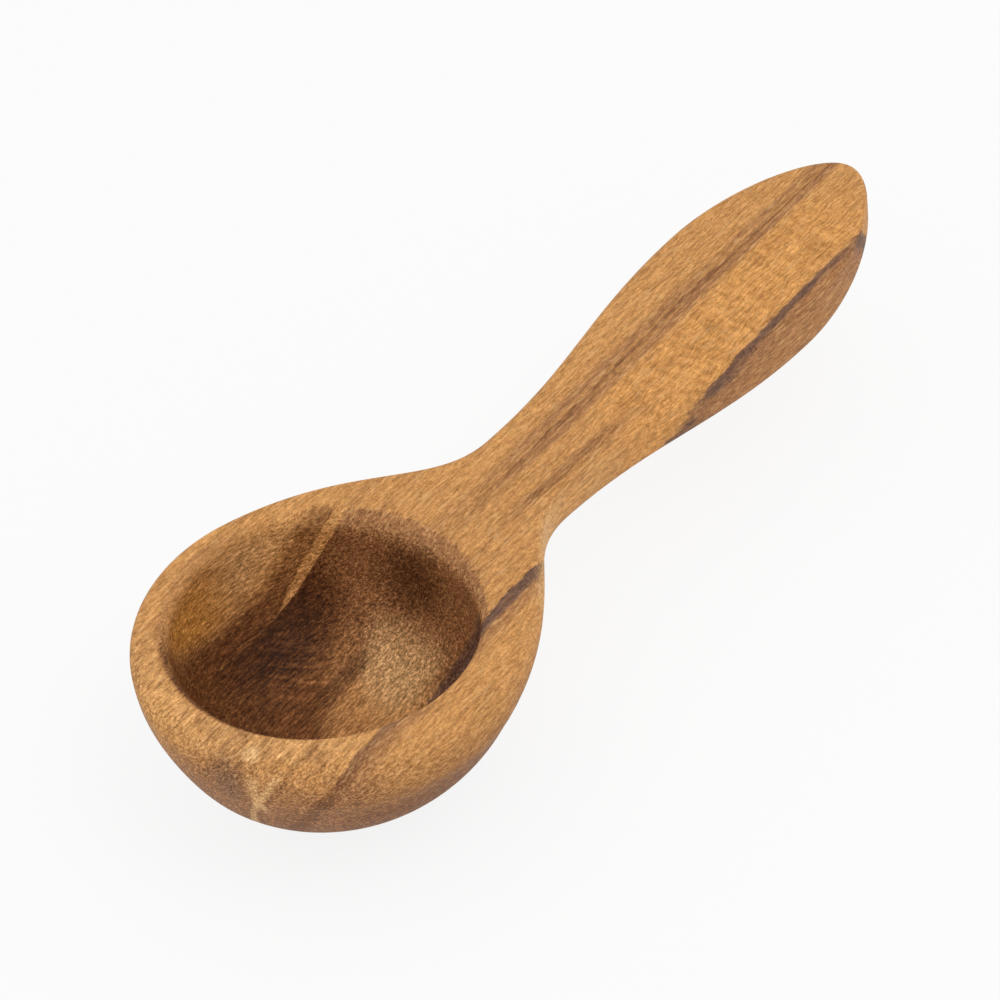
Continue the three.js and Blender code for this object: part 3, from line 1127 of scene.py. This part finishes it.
class SCOOP_OT_stage(bpy.types.Operator):
    """Set the floor, the light and the camera"""

    bl_idname = "scoop.stage"
    bl_label = "Set Stage"

    def execute(self, context):
        scene = context.scene
        stage = scene.scoop_stage
        rim = Vector((0, 0, scene.scoop_sizes.bowl_height))

        mesh = bmesh.new()
        bmesh.ops.create_grid(mesh, x_segments=1, y_segments=1, size=stage.floor_size / 2)
        data = bpy.data.meshes.new("floor")
        mesh.to_mesh(data)
        mesh.free()
        data.materials.append(pale_floor_material(stage))
        floor = bpy.data.objects.new("floor", data)
        scene.collection.objects.link(floor)

        world = bpy.data.worlds.new("studio")
        world.use_nodes = True
        nodes = Nodes(world.node_tree)
        seen = nodes.add("ShaderNodeLightPath", output="Is Camera Ray")
        strength = stage.room_light + seen * (1.0 - stage.room_light)
        sky = nodes.add("ShaderNodeBackground", None, {"Color": (1.0, 1.0, 1.0, 1.0), "Strength": strength})
        nodes.add("ShaderNodeOutputWorld", None, {"Surface": sky})
        scene.world = world

        soft_lamp("key_lamp", rim + Vector(stage.key_place), rim, stage.key_size, stage.key_power)

        turn = (
            Matrix.Rotation(stage.azimuth, 4, "Z")
            @ Matrix.Rotation(math.pi / 2 - stage.elevation, 4, "X")
            @ Matrix.Rotation(stage.roll, 4, "Z")
        )
        camera_data = bpy.data.cameras.new("camera")
        camera_data.lens = stage.lens
        camera_data.sensor_width = SENSOR_WIDTH
        camera_data.clip_start = NEAREST
        camera_data.clip_end = FURTHEST
        camera = bpy.data.objects.new("camera", camera_data)
        camera.matrix_world = Matrix.Translation(rim) @ turn @ Matrix.Translation(
            (stage.aside, stage.above, stage.distance)
        )
        scene.collection.objects.link(camera)
        scene.camera = camera
        scene.view_settings.view_transform = "Standard"
        return {"FINISHED"}


class SCOOP_PT_panel(bpy.types.Panel):
    """Sizes and colours of the scoop, and the steps that make it"""

    bl_label = "Wooden Scoop"
    bl_space_type = "VIEW_3D"
    bl_region_type = "UI"
    bl_category = "Scoop"

    def draw(self, context):
        layout = self.layout
        for operator in (SCOOP_OT_bowl, SCOOP_OT_handle, SCOOP_OT_stage):
            layout.operator(operator.bl_idname)
        for group in (context.scene.scoop_sizes, context.scene.scoop_wood, context.scene.scoop_stage):
            box = layout.box()
            for name in group.__annotations__:
                box.prop(group, name)


CLASSES = (
    ScoopSizes,
    ScoopWood,
    ScoopStage,
    SCOOP_OT_bowl,
    SCOOP_OT_handle,
    SCOOP_OT_stage,
    SCOOP_PT_panel,
)


def register():
    for item in CLASSES:
        bpy.utils.register_class(item)
    bpy.types.Scene.scoop_sizes = bpy.props.PointerProperty(type=ScoopSizes)
    bpy.types.Scene.scoop_wood = bpy.props.PointerProperty(type=ScoopWood)
    bpy.types.Scene.scoop_stage = bpy.props.PointerProperty(type=ScoopStage)


def unregister():
    del bpy.types.Scene.scoop_stage
    del bpy.types.Scene.scoop_wood
    del bpy.types.Scene.scoop_sizes
    for item in reversed(CLASSES):
        bpy.utils.unregister_class(item)


def main():
    """Registers the add-on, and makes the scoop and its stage."""
    register()
    bpy.ops.scoop.bowl()
    bpy.ops.scoop.handle()
    bpy.ops.scoop.stage()


if __name__ == "__main__":
    main()
